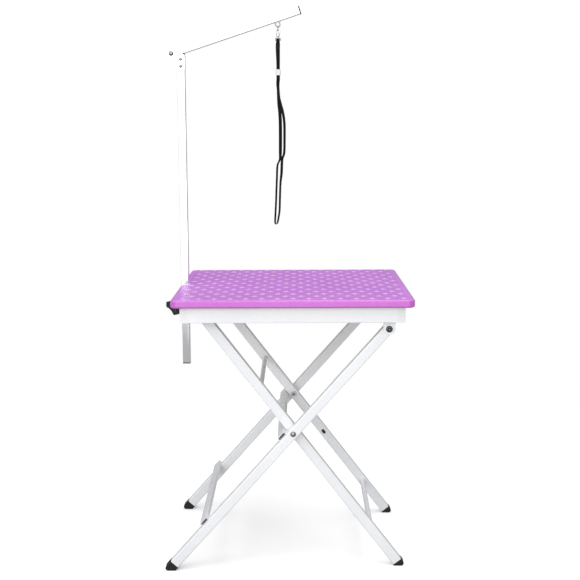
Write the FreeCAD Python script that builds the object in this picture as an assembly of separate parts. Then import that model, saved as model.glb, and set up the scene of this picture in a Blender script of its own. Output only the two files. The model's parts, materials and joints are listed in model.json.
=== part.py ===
import FreeCAD, Part
import math
import os
from FreeCAD import Vector

# Grooming table: a mat-covered board on a tube apron, a folding scissor leg set,
# and a clamped post with a folding arm that carries a neck noose.
# Millimetres, +Z up, +X to the right, the user stands on the -Y side.
# The origin is on the floor, under the middle of the whole object.

# ---- driving dimensions -------------------------------------------------
TABLE_HEIGHT = 715.0        # floor to the top of the mat
BOARD_LENGTH = 600.0
BOARD_DEPTH = 520.0
BOARD_THICKNESS = 20.0
BOARD_X = 20.75             # the board's middle, right of the origin: the legs reach out to the left
CORNER_RADIUS = 18.0
TRIM_WIDTH = 5.0
MAT_THICKNESS = 4.0

APRON_LENGTH = 556.0
APRON_DEPTH = 480.0
RAIL_HEIGHT = 40.0
RAIL_WIDTH = 20.0
RAIL_WALL = 1.5

LEG_SIZE = 25.0
LEG_WALL = 1.5
LEG_CORNER = 3.0
OUTER_LEG_Y = 204.0         # middle of each outer leg, front and back
INNER_LEG_Y = 176.0
HINGE_X = 240.0             # top hinge of the outer legs, from the board's middle
HINGE_DROP = 80.0           # below the board's top
CROSSING_DROP = 351.0       # the legs' crossing bolt, below the board's top
CATCH_DROP = 38.0           # the inner legs' top tube, below the board's top
INNER_SLOPE = 52.7          # degrees from the floor
OUTER_FOOT_HEIGHT = 17.0    # where the leg tube ends, above the floor
INNER_FOOT_HEIGHT = 11.0

POST_SIZE = 20.0
POST_WALL = 1.5
POST_ABOVE = 599.5          # above the board's top
POST_BELOW = 215.0          # below the board's top
ARM_SLOPE = 18.0
ARM_BOLT_RADIUS = 3.0
ARM_PIVOT_OUT = 24.5        # left of the post's middle
ARM_PIVOT_UP = 609.5        # above the board's top
ARM_REACH = 350.0
ARM_TAIL = 11.0             # short enough to swing past the post's top
EYE_REACH = 287.0           # the noose eye, along the arm from its pivot

KNOB_RADIUS = 26.0
KNOB_DROP = 53.5            # below the board's top
KNOB_INNER = 31.0           # knob's near face, from the post's middle
KNOB_THICKNESS = 17.0
SCREW_RADIUS = 4.0
PIN_RADIUS = 4.0            # leg hinge pins and crossing bolts

STRAP_WIDTH = 9.0
STRAP_PLY = 2.0
RUNNING = 0.05              # radial clearance of a pin in its hole

# ---- worked-out places --------------------------------------------------
BOARD_BOTTOM = TABLE_HEIGHT - BOARD_THICKNESS
HINGE = Vector(BOARD_X + HINGE_X, 0, TABLE_HEIGHT - HINGE_DROP)
CROSSING = Vector(BOARD_X, 0, TABLE_HEIGHT - CROSSING_DROP)
OUTER_SLOPE = math.degrees(math.atan2(HINGE.z - CROSSING.z, HINGE.x - CROSSING.x))
OUTER_HEADING = 180.0 + OUTER_SLOPE
INNER_HEADING = -INNER_SLOPE
CATCH_RISE = CROSSING_DROP - CATCH_DROP
CATCH_REACH = CATCH_RISE / math.sin(math.radians(INNER_SLOPE))
CATCH = Vector(CROSSING.x - CATCH_RISE / math.tan(math.radians(INNER_SLOPE)), 0, TABLE_HEIGHT - CATCH_DROP)
HINGE_TO_CROSSING = (HINGE - CROSSING).Length
SLEEVE_WALL = 2.0
SLEEVE_BORE = POST_SIZE + 0.4
SLEEVE_SIZE = SLEEVE_BORE + 2 * SLEEVE_WALL
POST_X = BOARD_X - APRON_LENGTH / 2 - SLEEVE_SIZE / 2
ARM_PIVOT = Vector(POST_X - ARM_PIVOT_OUT, 0, TABLE_HEIGHT + ARM_PIVOT_UP)
OUTER_LEG_FACE = OUTER_LEG_Y + LEG_SIZE / 2
INNER_LEG_FACE = INNER_LEG_Y - LEG_SIZE / 2
BRACKET_THICKNESS = 2.5
BRACKET_FACE = APRON_DEPTH / 2 - RAIL_WIDTH

parts = {}


# ---- helpers ------------------------------------------------------------
def box(x_range, y_range, z_range):
    """A block between two limits on each axis."""
    (x0, x1), (y0, y1), (z0, z1) = x_range, y_range, z_range
    return Part.makeBox(x1 - x0, y1 - y0, z1 - z0, Vector(x0, y0, z0))


def bar(length, width, height, radius=0.0, start=0.0):
    """A bar along +X, centred on the axis, with its long edges rounded."""
    solid = box((start, start + length), (-width / 2, width / 2), (-height / 2, height / 2))
    if radius <= 0:
        return solid
    long_edges = [edge for edge in solid.Edges if abs(edge.tangentAt(edge.FirstParameter).x) > 0.9]
    return solid.makeFillet(radius, long_edges)


def tube(length, width, height, wall, radius, start=0.0):
    """A hollow bar along +X."""
    inner_radius = max(radius - wall, 0.3)
    inner = bar(length + 2, width - 2 * wall, height - 2 * wall, inner_radius, start - 1)
    return bar(length, width, height, radius, start).cut(inner)


def rod(radius, start, end):
    """A round rod between two points."""
    return Part.makeCylinder(radius, (end - start).Length, start, end - start)


def aimed(shape, heading, place):
    """Turn a part made along +X to a heading in the XZ plane, then move it."""
    turned = shape.copy()
    turned.rotate(Vector(0, 0, 0), Vector(0, 1, 0), -heading)
    turned.translate(place)
    return turned


def on_line(origin, heading, along, across=0.0, y=0.0):
    """A point along a heading in the XZ plane; across is to the heading's left."""
    angle = math.radians(heading)
    x = origin.x + along * math.cos(angle) - across * math.sin(angle)
    z = origin.z + along * math.sin(angle) + across * math.cos(angle)
    return Vector(x, y, z)


def mirrored(shape):
    """The same part on the far side of the table's middle."""
    return shape.mirror(Vector(0, 0, 0), Vector(0, 1, 0))


def group(solids):
    return Part.makeCompound(solids)


def domed_head(radius, height, base, direction):
    """A low dome on a flat face."""
    sphere_radius = (radius * radius + height * height) / (2 * height)
    unit = Vector(direction).normalize()
    centre = base - unit * (sphere_radius - height)
    cylinder = Part.makeCylinder(radius, height, base, unit)
    return cylinder.common(Part.makeSphere(sphere_radius, centre))


def hexagon_nut(across_flats, height, bore, base, direction):
    """A hexagon nut standing on a face."""
    corner = across_flats / math.sqrt(3)
    points = [Vector(corner * math.cos(math.radians(60 * i)), corner * math.sin(math.radians(60 * i)), 0)
              for i in range(7)]
    nut = Part.Face(Part.makePolygon(points)).extrude(Vector(0, 0, height))
    nut = nut.cut(Part.makeCylinder(bore, height + 2, Vector(0, 0, -1)))
    nut.Placement = FreeCAD.Placement(base, FreeCAD.Rotation(Vector(0, 0, 1), Vector(direction)))
    return nut


def washer(outer, inner, height, base, direction):
    return Part.makeCylinder(outer, height, base, direction).cut(
        Part.makeCylinder(inner, height, base, direction))


# ---- the board ----------------------------------------------------------
def board_slab(inset, z_low, z_high):
    """A slab with the board's outline, drawn in from its edge, and the post's notch."""
    half_length = BOARD_LENGTH / 2 - inset
    half_depth = BOARD_DEPTH / 2 - inset
    slab = box((BOARD_X - half_length, BOARD_X + half_length), (-half_depth, half_depth), (z_low, z_high))
    upright = [edge for edge in slab.Edges if abs(edge.tangentAt(edge.FirstParameter).z) > 0.9]
    return slab.makeFillet(CORNER_RADIUS - inset, upright)


def post_notch():
    reach = SLEEVE_SIZE / 2 + 0.2
    x_range = (BOARD_X - BOARD_LENGTH, POST_X + reach)
    return box(x_range, (-reach, reach), (BOARD_BOTTOM - 1, TABLE_HEIGHT + 1))


def build_board():
    mat_bottom = TABLE_HEIGHT - MAT_THICKNESS
    notch = post_notch()
    parts["board_core"] = board_slab(TRIM_WIDTH, BOARD_BOTTOM, mat_bottom).cut(notch)
    parts["board_mat"] = board_slab(TRIM_WIDTH, mat_bottom, TABLE_HEIGHT).cut(notch)
    trim = board_slab(0, BOARD_BOTTOM, TABLE_HEIGHT)
    rims = [edge for edge in trim.Edges
            if edge.BoundBox.ZLength < 0.01 and abs(edge.tangentAt(edge.FirstParameter).z) < 0.1]
    trim = trim.makeFillet(4.5, rims)
    inside = board_slab(TRIM_WIDTH, BOARD_BOTTOM - 1, TABLE_HEIGHT + 1)
    parts["board_edge_trim"] = trim.cut(inside).cut(notch)


# ---- the apron ----------------------------------------------------------
def build_apron():
    rail_z = BOARD_BOTTOM - RAIL_HEIGHT / 2
    side_x = APRON_LENGTH / 2 - RAIL_WIDTH / 2
    end_y = APRON_DEPTH / 2 - RAIL_WIDTH / 2
    cap = 2.0
    cross_length = APRON_LENGTH - 2 * RAIL_WIDTH
    cross = tube(cross_length, RAIL_WIDTH, RAIL_HEIGHT, RAIL_WALL, 1.8, -cross_length / 2)
    for name, y in (("front", -end_y), ("back", end_y)):
        parts["apron_" + name + "_rail"] = aimed(cross, 0, Vector(BOARD_X, y, rail_z))
    side_length = APRON_DEPTH - 2 * cap
    side = tube(side_length, RAIL_WIDTH, RAIL_HEIGHT, RAIL_WALL, 1.8, -side_length / 2)
    side.rotate(Vector(0, 0, 0), Vector(0, 0, 1), 90)
    caps = []
    for name, x in (("left", -side_x), ("right", side_x)):
        parts["apron_" + name + "_rail"] = aimed(side, 0, Vector(BOARD_X + x, 0, rail_z))
        end_cap = bar(cap, RAIL_WIDTH, RAIL_HEIGHT, 1.8)
        end_cap.rotate(Vector(0, 0, 0), Vector(0, 0, 1), 90)
        end_cap.translate(Vector(BOARD_X + x, side_length / 2, rail_z))
        caps += [end_cap, mirrored(end_cap)]
    parts["rail_end_caps"] = group(caps)
    build_tabs()


def build_tabs():
    """Steel tabs inside the apron that hold the board down, each with a screw."""
    tab_length, tab_width, tab_thickness = 30.0, 22.0, 3.0
    inner_y = APRON_DEPTH / 2 - RAIL_WIDTH
    tab_top = BOARD_BOTTOM
    tabs, screws = [], []
    for x in (-180.0, 0.0, 180.0):
        for side in (-1, 1):
            y = side * (inner_y - tab_width / 2)
            centre = Vector(BOARD_X + x, y, tab_top - tab_thickness / 2)
            tab = bar(tab_length, tab_width, tab_thickness, 0, -tab_length / 2)
            tab.translate(centre)
            hole = Part.makeCylinder(2.2, tab_thickness + 2, centre - Vector(0, 0, tab_thickness / 2 + 1))
            tabs.append(tab.cut(hole))
            seat = Vector(centre.x, y, tab_top - tab_thickness)
            head = domed_head(4.2, 2.4, seat, Vector(0, 0, -1))
            screws.append(head.fuse(Part.makeCylinder(2.1, tab_thickness, seat)).removeSplitter())
    parts["apron_tabs"] = group(tabs)
    parts["tab_screws"] = group(screws)


# ---- hinge brackets and catches -----------------------------------------
def build_hinge_brackets():
    ear = 15.0
    inner_face = BRACKET_FACE - BRACKET_THICKNESS
    inner_centre = Vector(HINGE.x, inner_face, HINGE.z)
    round_end = Part.makeCylinder(ear, BRACKET_THICKNESS, inner_centre, Vector(0, 1, 0))
    shank = box((HINGE.x - ear, HINGE.x + ear), (inner_face, BRACKET_FACE), (HINGE.z, BOARD_BOTTOM - 2))
    bore = rod(PIN_RADIUS + RUNNING, Vector(HINGE.x, 0, HINGE.z), Vector(HINGE.x, 300, HINGE.z))
    bracket = round_end.fuse(shank).removeSplitter().cut(bore)
    parts["hinge_bracket_back"] = bracket
    parts["hinge_bracket_front"] = mirrored(bracket)
    # a riveted pin: a thin inner flange that the inner legs pass, and a domed outer head
    leg_inner = OUTER_LEG_Y - LEG_SIZE / 2
    flange = 2.0
    start = Vector(HINGE.x, leg_inner - 0.1 - flange, HINGE.z)
    pin = rod(PIN_RADIUS, start, Vector(HINGE.x, BRACKET_FACE, HINGE.z))
    pin = pin.fuse(Part.makeCylinder(7.5, flange, start, Vector(0, 1, 0)))
    face = Vector(HINGE.x, BRACKET_FACE, HINGE.z)
    head = domed_head(8.5, 4.5, face, Vector(0, 1, 0))
    # the rivet's hollow end, rolled over
    hollow = Part.makeCone(2.0, 4.6, 4.0, face + Vector(0, 1.5, 0), Vector(0, 1, 0))
    pin = pin.fuse(head).cut(hollow).removeSplitter()
    parts["hinge_pins"] = group([pin, mirrored(pin)])


def build_catches():
    """Two blocks under the board that the inner legs' top tube presses into."""
    reach, gap, wall = 10.0, 0.3, 6.0
    left = CATCH.x - reach - gap
    solid = box((left - wall, CATCH.x + 16), (95, 125), (CATCH.z - 8, BOARD_BOTTOM))
    pocket = box((left, CATCH.x + 20), (90, 130), (CATCH.z - 10, CATCH.z + reach + gap))
    block = solid.cut(pocket)
    screws = []
    screw_y = 110.0
    screw_x = CATCH.x + 3
    top_gap = BOARD_BOTTOM - (CATCH.z + reach + gap)
    for y in (screw_y - 8, screw_y + 8):
        seat = Vector(screw_x, y, CATCH.z + reach + gap + 2.5)
        hole = Part.makeCylinder(3.8, 2.6, seat - Vector(0, 0, 2.55))
        shaft = Part.makeCylinder(1.8, top_gap, seat)
        block = block.cut(hole).cut(shaft)
        head = Part.makeCylinder(3.6, 2.2, seat - Vector(0, 0, 2.2))
        screws.append(head.fuse(Part.makeCylinder(1.75, top_gap - 2.5, seat)).removeSplitter())
    parts["catch_back"] = block
    parts["catch_front"] = mirrored(block)
    parts["catch_screws"] = group(screws + [mirrored(screw) for screw in screws])


# ---- post sleeve and clamp knob ------------------------------------------
CLAMP_DIRECTION = Vector(-math.sqrt(0.5), -math.sqrt(0.5), 0)
CLAMP_CENTRE = Vector(POST_X, 0, TABLE_HEIGHT - KNOB_DROP)


def along_clamp(distance):
    return CLAMP_CENTRE + CLAMP_DIRECTION * distance


def build_sleeve():
    bottom, top = TABLE_HEIGHT - 78.0, TABLE_HEIGHT + 0.6
    sleeve = tube(top - bottom, SLEEVE_SIZE, SLEEVE_SIZE, SLEEVE_WALL, 2.2)
    sleeve = aimed(sleeve, 90, Vector(POST_X, 0, bottom))
    screw_hole = rod(SCREW_RADIUS + RUNNING, along_clamp(0), along_clamp(60))
    parts["post_sleeve"] = sleeve.cut(screw_hole)
    boss = rod(8.0, along_clamp(13.0), along_clamp(KNOB_INNER - 2.5))
    core = aimed(bar(60, SLEEVE_SIZE, SLEEVE_SIZE, 2.2, -30), 90, CLAMP_CENTRE)
    parts["clamp_boss"] = boss.cut(core).cut(screw_hole)


def build_knob():
    """A three-lobed knob: a disc with three shallow scallops, made along +Z."""
    disc = Part.makeCylinder(KNOB_RADIUS, KNOB_THICKNESS)
    lobe_angle = 18.0
    waist = 15.0
    corner_x = KNOB_RADIUS * math.cos(math.radians(60 - lobe_angle))
    corner_y = KNOB_RADIUS * math.sin(math.radians(60 - lobe_angle))
    scallop_centre = (corner_x ** 2 + corner_y ** 2 - waist ** 2) / (2 * (corner_x - waist))
    for angle in (60, 180, 300):
        centre = Vector(scallop_centre * math.cos(math.radians(angle)),
                        scallop_centre * math.sin(math.radians(angle)), -1)
        disc = disc.cut(Part.makeCylinder(scallop_centre - waist, KNOB_THICKNESS + 2, centre))
    disc = disc.makeFillet(2.5, disc.Edges)
    hub = Part.makeCone(9.0, 8.0, 3.0, Vector(0, 0, KNOB_THICKNESS))
    knob = disc.fuse(hub)
    screw_depth = 10.0
    knob = knob.cut(Part.makeCylinder(SCREW_RADIUS + RUNNING, screw_depth))
    # local +Z points away from the post, local +X to the left and back
    across = Vector(-math.sqrt(0.5), math.sqrt(0.5), 0)
    turn = FreeCAD.Rotation(across, CLAMP_DIRECTION.cross(across), CLAMP_DIRECTION, "XZY")
    knob.Placement = FreeCAD.Placement(along_clamp(KNOB_INNER), turn)
    parts["clamp_knob"] = knob
    parts["clamp_screw"] = rod(SCREW_RADIUS, along_clamp(13.5), along_clamp(KNOB_INNER + screw_depth))


# ---- post and arm --------------------------------------------------------
def build_post():
    bottom = TABLE_HEIGHT - POST_BELOW
    length = POST_BELOW + POST_ABOVE
    post = aimed(tube(length, POST_SIZE, POST_SIZE, POST_WALL, 2.0), 90, Vector(POST_X, 0, bottom))
    rivet_heights = (TABLE_HEIGHT + 576.5, TABLE_HEIGHT + 594.5)
    rivets = []
    plate_inner = POST_SIZE / 2 + 0.2
    plate_outer = plate_inner + 2.0
    for height in rivet_heights:
        shaft = rod(2.4, Vector(POST_X, -plate_outer, height), Vector(POST_X, plate_outer, height))
        post = post.cut(rod(2.5, Vector(POST_X, -20, height), Vector(POST_X, 20, height)))
        head = domed_head(4.5, 2.2, Vector(POST_X, plate_outer, height), Vector(0, 1, 0))
        rivets.append(shaft.fuse(head).fuse(mirrored(head)).removeSplitter())
    parts["post_tube"] = post
    parts["plate_rivets"] = group(rivets)
    plug = aimed(bar(3.0, POST_SIZE, POST_SIZE, 2.0, -3.0), 90, Vector(POST_X, 0, bottom))
    stub = aimed(bar(14.0, POST_SIZE - 3.4, POST_SIZE - 3.4, 1.0), 90, Vector(POST_X, 0, bottom))
    parts["post_bottom_plug"] = plug.fuse(stub).removeSplitter()
    parts["post_top_pad"] = arm_rest_pad()
    plate = pivot_plate(plate_inner, plate_outer)
    for height in rivet_heights:
        plate = plate.cut(rod(2.5, Vector(POST_X, 0, height), Vector(POST_X, 20, height)))
    parts["pivot_plate_back"] = plate
    parts["pivot_plate_front"] = mirrored(plate)
    build_arm_bolt(plate_outer)


def arm_rest_pad():
    """The plug in the post's top end: its sloping pad is what the raised arm rests on."""
    top = TABLE_HEIGHT + POST_ABOVE
    slope = math.tan(math.radians(ARM_SLOPE))
    half_arm = POST_SIZE / 2 / math.cos(math.radians(ARM_SLOPE))
    gap, half_width = 0.3, 9.5
    left, right = POST_X - 7.0, POST_X + 9.5

    def under_arm(x):
        return ARM_PIVOT.z + (x - ARM_PIVOT.x) * slope - half_arm - gap

    corners = [Vector(left, -half_width, top), Vector(right, -half_width, top),
               Vector(right, -half_width, under_arm(right)), Vector(left, -half_width, under_arm(left)),
               Vector(left, -half_width, top)]
    pad = Part.Face(Part.makePolygon(corners)).extrude(Vector(0, 2 * half_width, 0))
    stub_size = POST_SIZE - 3.4
    # the stub stays above the upper rivet
    stub = aimed(bar(2.5, stub_size, stub_size, 0.5, -2.5), 90, Vector(POST_X, 0, top))
    return pad.fuse(stub).removeSplitter()


def pivot_plate(inner, outer):
    """A flat plate: upright beside the post, with a round ear out to the arm's bolt."""
    ear = 14.0
    left, right = POST_X - POST_SIZE / 2, POST_X + POST_SIZE / 2
    low = TABLE_HEIGHT + 567.5
    high = ARM_PIVOT.z - 4.0
    sweep = 2.2 * ear
    knee = Vector(ARM_PIVOT.x - ear + sweep * 0.42, inner, ARM_PIVOT.z - sweep * 0.95)
    lower_arc = Part.Arc(Vector(ARM_PIVOT.x - ear, inner, ARM_PIVOT.z), knee, Vector(left + 4, inner, low))
    diagonal = ear * math.sqrt(0.5)
    upper_arc = Part.Arc(Vector(ARM_PIVOT.x, inner, ARM_PIVOT.z + ear),
                         Vector(ARM_PIVOT.x - diagonal, inner, ARM_PIVOT.z + diagonal),
                         Vector(ARM_PIVOT.x - ear, inner, ARM_PIVOT.z))
    corners = [Vector(left + 4, inner, low), Vector(right, inner, low), Vector(right, inner, high),
               Vector(ARM_PIVOT.x, inner, ARM_PIVOT.z + ear)]
    straight = [Part.LineSegment(a, b) for a, b in zip(corners, corners[1:])]
    edges = [lower_arc.toShape()] + [line.toShape() for line in straight] + [upper_arc.toShape()]
    face = Part.Face(Part.Wire(Part.__sortEdges__(edges)))
    plate = face.extrude(Vector(0, outer - inner, 0))
    bolt_hole = rod(ARM_BOLT_RADIUS + RUNNING, ARM_PIVOT, ARM_PIVOT + Vector(0, 20, 0))
    return plate.cut(bolt_hole)


def build_arm_bolt(face):
    centre = Vector(ARM_PIVOT.x, 0, ARM_PIVOT.z)
    front, back = centre - Vector(0, face, 0), centre + Vector(0, face, 0)
    shaft = rod(ARM_BOLT_RADIUS, front, back + Vector(0, 5.5, 0))
    head = domed_head(7.0, 3.5, front, Vector(0, -1, 0))
    parts["arm_pivot_bolt"] = shaft.fuse(head).removeSplitter()
    parts["arm_pivot_nut"] = hexagon_nut(10.0, 4.5, ARM_BOLT_RADIUS + RUNNING, back, Vector(0, 1, 0))


def build_arm():
    length = ARM_REACH + ARM_TAIL
    arm = tube(length, POST_SIZE, POST_SIZE, POST_WALL, 2.0, -ARM_TAIL)
    arm = arm.cut(rod(ARM_BOLT_RADIUS + RUNNING, Vector(0, -20, 0), Vector(0, 20, 0)))
    for offset in (-EYE_LEG_GAP / 2, EYE_LEG_GAP / 2):
        leg_axis = Vector(EYE_REACH + offset, 0, 0)
        arm = arm.cut(rod(EYE_WIRE + RUNNING, leg_axis - Vector(0, 0, 20), leg_axis))
    parts["arm_tube"] = aimed(arm, ARM_SLOPE, ARM_PIVOT)
    cap = bar(3.5, POST_SIZE + 0.6, POST_SIZE + 0.6, 2.3).fuse(
        bar(12.0, POST_SIZE - 3.4, POST_SIZE - 3.4, 1.0, -12.0)).removeSplitter()
    parts["arm_outer_cap"] = aimed(cap, ARM_SLOPE, on_line(ARM_PIVOT, ARM_SLOPE, ARM_REACH))
    tail_stub = ARM_TAIL - 4.0
    tail_cap = bar(2.5, POST_SIZE, POST_SIZE, 2.0).fuse(
        bar(tail_stub, POST_SIZE - 3.4, POST_SIZE - 3.4, 1.0, -tail_stub)).removeSplitter()
    parts["arm_inner_cap"] = aimed(tail_cap, ARM_SLOPE + 180, on_line(ARM_PIVOT, ARM_SLOPE, -ARM_TAIL))


# ---- the noose -----------------------------------------------------------
EYE_WIRE = 1.5
EYE_LEG_GAP = 11.0
EYE_DEPTH = 13.0
EYE_TOP = on_line(ARM_PIVOT, ARM_SLOPE, EYE_REACH, -POST_SIZE / 2)
EYE_BEND = on_line(EYE_TOP, ARM_SLOPE - 90, EYE_DEPTH - EYE_LEG_GAP / 2)
EYE_LOWEST = EYE_BEND - Vector(0, 0, EYE_LEG_GAP / 2)
RING_RADIUS = 6.5
RING_WIRE = 1.2
RING = EYE_LOWEST + Vector(0, 0, EYE_WIRE + RING_WIRE + 0.1 - RING_RADIUS)
SWIVEL_EYE_RADIUS = 4.5
SWIVEL_EYE = Vector(RING.x, 0, RING.z - RING_RADIUS + 2 * RING_WIRE + 0.1 - SWIVEL_EYE_RADIUS)
BARREL_TOP = SWIVEL_EYE.z - SWIVEL_EYE_RADIUS - RING_WIRE + 0.6
BARREL_LENGTH = 7.5
BARREL_BOTTOM = BARREL_TOP - BARREL_LENGTH
LINK_BAR_Z = BARREL_BOTTOM - 9.0
LINK_WIDTH = 13.0
LINK_WIRE = 1.3
STRAP_X = RING.x
STRAP_SPLIT = TABLE_HEIGHT + 489.0
LOOP_BOTTOM = TABLE_HEIGHT + 160.0
LOOP_WIDTH = 16.0
LOOP_LEAN = -9.0            # the loop's lowest point, left of the straight part


def ring(radius, wire, centre, normal):
    return Part.makeTorus(radius, wire, centre, normal)


def wire_path(points, radius):
    """A bent wire: straight runs with ball joints, as bent rod looks at this size."""
    solid = Part.makeSphere(radius, points[0])
    for start, end in zip(points, points[1:]):
        solid = solid.fuse(rod(radius, start, end)).fuse(Part.makeSphere(radius, end))
    return solid.removeSplitter()


def build_eye():
    """A staple through the arm's lower wall, with a collar round each leg."""
    half = EYE_LEG_GAP / 2
    arc_start = -POST_SIZE / 2 - (EYE_DEPTH - half)
    legs = [rod(EYE_WIRE, Vector(EYE_REACH + x, 0, -POST_SIZE / 2 + 4), Vector(EYE_REACH + x, 0, arc_start))
            for x in (-half, half)]
    bend = Part.makeTorus(half, EYE_WIRE, Vector(EYE_REACH, 0, arc_start), Vector(0, 1, 0))
    bend = bend.common(box((0, 400), (-20, 20), (arc_start - 20, arc_start)))
    staple = legs[0].fuse(bend).fuse(legs[1]).removeSplitter()
    parts["noose_eye"] = aimed(staple, ARM_SLOPE, ARM_PIVOT)
    collars = [washer(3.2, EYE_WIRE, 3.0, Vector(EYE_REACH + x, 0, -POST_SIZE / 2 - 3.0), Vector(0, 0, 1))
               for x in (-half, half)]
    parts["eye_collars"] = group([aimed(collar, ARM_SLOPE, ARM_PIVOT) for collar in collars])


def build_swivel():
    parts["noose_ring"] = ring(RING_RADIUS, RING_WIRE, RING, Vector(1, 0, 0))
    top_eye = ring(SWIVEL_EYE_RADIUS, RING_WIRE, SWIVEL_EYE, Vector(0, 1, 0))
    barrel = Part.makeCylinder(4.2, BARREL_LENGTH, Vector(STRAP_X, 0, BARREL_BOTTOM))
    barrel = barrel.makeFillet(1.2, barrel.Edges)
    socket = Part.makeCylinder(1.6, 4.0, Vector(STRAP_X, 0, BARREL_BOTTOM - 0.01))
    parts["swivel_barrel"] = barrel.fuse(top_eye).cut(socket).removeSplitter()
    half = LINK_WIDTH / 2
    link_top = BARREL_BOTTOM - 2.4
    corners = [Vector(STRAP_X, 0, link_top), Vector(STRAP_X - half, 0, link_top - 2.0),
               Vector(STRAP_X - half, 0, LINK_BAR_Z), Vector(STRAP_X + half, 0, LINK_BAR_Z),
               Vector(STRAP_X + half, 0, link_top - 2.0), Vector(STRAP_X, 0, link_top)]
    link = wire_path(corners, LINK_WIRE)
    pin = Part.makeCylinder(1.5, BARREL_BOTTOM + 3.5 - link_top, Vector(STRAP_X, 0, link_top))
    parts["swivel_link"] = link.fuse(pin).removeSplitter()


def strand(points, width, thickness):
    """A flat ribbon through points in the XZ plane; thickness is in the plane, width along Y."""
    solid = None
    for start, end in zip(points, points[1:]):
        run = end - start
        heading = math.degrees(math.atan2(run.z, run.x))
        piece = aimed(bar(run.Length, width, thickness), heading, start)
        joint = Part.makeCylinder(thickness / 2, width, Vector(end.x, -width / 2, end.z), Vector(0, 1, 0))
        piece = piece.fuse(joint)
        solid = piece if solid is None else solid.fuse(piece)
    return solid


def build_strap():
    """Webbing folded over the link, doubled down to the split, then a long open loop."""
    doubled = 2 * STRAP_PLY
    fold = Part.makeCylinder(LINK_WIRE + 0.1 + STRAP_PLY, STRAP_WIDTH,
                             Vector(STRAP_X - STRAP_WIDTH / 2, 0, LINK_BAR_Z), Vector(1, 0, 0))
    body = box((STRAP_X - STRAP_WIDTH / 2, STRAP_X + STRAP_WIDTH / 2), (-doubled / 2, doubled / 2),
               (STRAP_SPLIT, LINK_BAR_Z))
    upper = fold.fuse(body).cut(rod(LINK_WIRE + 0.1, Vector(STRAP_X - 20, 0, LINK_BAR_Z),
                                    Vector(STRAP_X + 20, 0, LINK_BAR_Z)))
    half = LOOP_WIDTH / 2 - STRAP_PLY / 2
    low_x = STRAP_X + LOOP_LEAN
    sides = []
    for side in (-1, 1):
        open_x = STRAP_X + 3 + side * half
        sides.append([Vector(STRAP_X + side, 0, STRAP_SPLIT + 4),
                      Vector(open_x, 0, STRAP_SPLIT - 45),
                      Vector(open_x, 0, STRAP_SPLIT - 120),
                      Vector(low_x + side * half * 0.7, 0, LOOP_BOTTOM + 40),
                      Vector(low_x + side * half * 0.5, 0, LOOP_BOTTOM + 6),
                      Vector(low_x, 0, LOOP_BOTTOM + STRAP_PLY / 2)])
    loop = strand(sides[0], STRAP_WIDTH, STRAP_PLY).fuse(strand(sides[1], STRAP_WIDTH, STRAP_PLY))
    parts["noose_strap"] = upper.fuse(loop).removeSplitter()


def build_lock():
    """The metal lock that slides on the doubled webbing."""
    low, high = TABLE_HEIGHT + 552.5, TABLE_HEIGHT + 567.5
    wall, clearance = 1.2, 0.35
    half_x = STRAP_WIDTH / 2 + clearance
    half_y = STRAP_PLY + clearance
    outer = bar(high - low, 2 * (half_y + wall), 2 * (half_x + wall), 1.2)
    inner = bar(high - low + 2, 2 * half_y, 2 * half_x, 0, -1)
    parts["noose_lock"] = aimed(outer.cut(inner), 90, Vector(STRAP_X, 0, low))


# ---- legs ----------------------------------------------------------------
def leg_tube(length, bore_places, round_start):
    """A square leg along +X from its first bore, with a half-round end there."""
    half = LEG_SIZE / 2
    start = -half if round_start else -half - 2
    leg = bar(length - start, LEG_SIZE, LEG_SIZE, LEG_CORNER, start)
    if round_start:
        keep = Part.makeCylinder(half, 60, Vector(0, -30, 0), Vector(0, 1, 0))
        keep = keep.fuse(box((0, length + 10), (-30, 30), (-30, 30)))
        leg = leg.common(keep)
    inner = LEG_SIZE - 2 * LEG_WALL
    leg = leg.cut(bar(length - start + 60, inner, inner, LEG_CORNER - LEG_WALL, start - 20))
    for place in bore_places:
        leg = leg.cut(rod(PIN_RADIUS + RUNNING, Vector(place, -30, 0), Vector(place, 30, 0)))
    return leg


def rubber_foot(tube_end, heading, y):
    """A rubber end piece: it follows the leg, then is cut off level at the floor."""
    stub_size = LEG_SIZE - 2 * LEG_WALL - 0.4
    cap = aimed(bar(70.0, LEG_SIZE + 0.6, LEG_SIZE + 0.6), heading, tube_end)
    cap = cap.common(box((-600, 600), (-300, 300), (0, 200)))
    along = on_line(Vector(0, 0, 0), heading, 1.0)
    tip = max(cap.Edges, key=lambda edge: (edge.CenterOfMass - tube_end).dot(along))
    cap = cap.makeFillet(7.0, [tip])
    free_edges = [edge for edge in cap.Edges
                  if max((vertex.Point - tube_end).dot(along) for vertex in edge.Vertexes) > 1.0]
    cap = cap.makeFillet(2.0, free_edges)
    stub = aimed(bar(22.0, stub_size, stub_size, 1.0, -22.0), heading, tube_end)
    foot = cap.fuse(stub).removeSplitter()
    foot.translate(Vector(0, y, 0))
    return foot


def build_outer_legs():
    below_crossing = (CROSSING.z - OUTER_FOOT_HEIGHT) / math.sin(math.radians(OUTER_SLOPE))
    tube_end_along = HINGE_TO_CROSSING + below_crossing
    leg = leg_tube(tube_end_along, (0.0, HINGE_TO_CROSSING), True)
    for name, y in (("front", -OUTER_LEG_Y), ("back", OUTER_LEG_Y)):
        parts["outer_leg_" + name] = aimed(leg, OUTER_HEADING, HINGE + Vector(0, y, 0))
        end = on_line(HINGE, OUTER_HEADING, tube_end_along)
        parts["outer_foot_" + name] = rubber_foot(end, OUTER_HEADING, y)
    build_outer_bars()
    gap = BRACKET_FACE - BRACKET_THICKNESS - OUTER_LEG_FACE
    leg_face = Vector(HINGE.x, OUTER_LEG_FACE, HINGE.z)
    spacer = washer(9.0, PIN_RADIUS + RUNNING, gap - 0.1, leg_face, Vector(0, 1, 0))
    parts["hinge_spacers"] = group([spacer, mirrored(spacer)])


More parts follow.
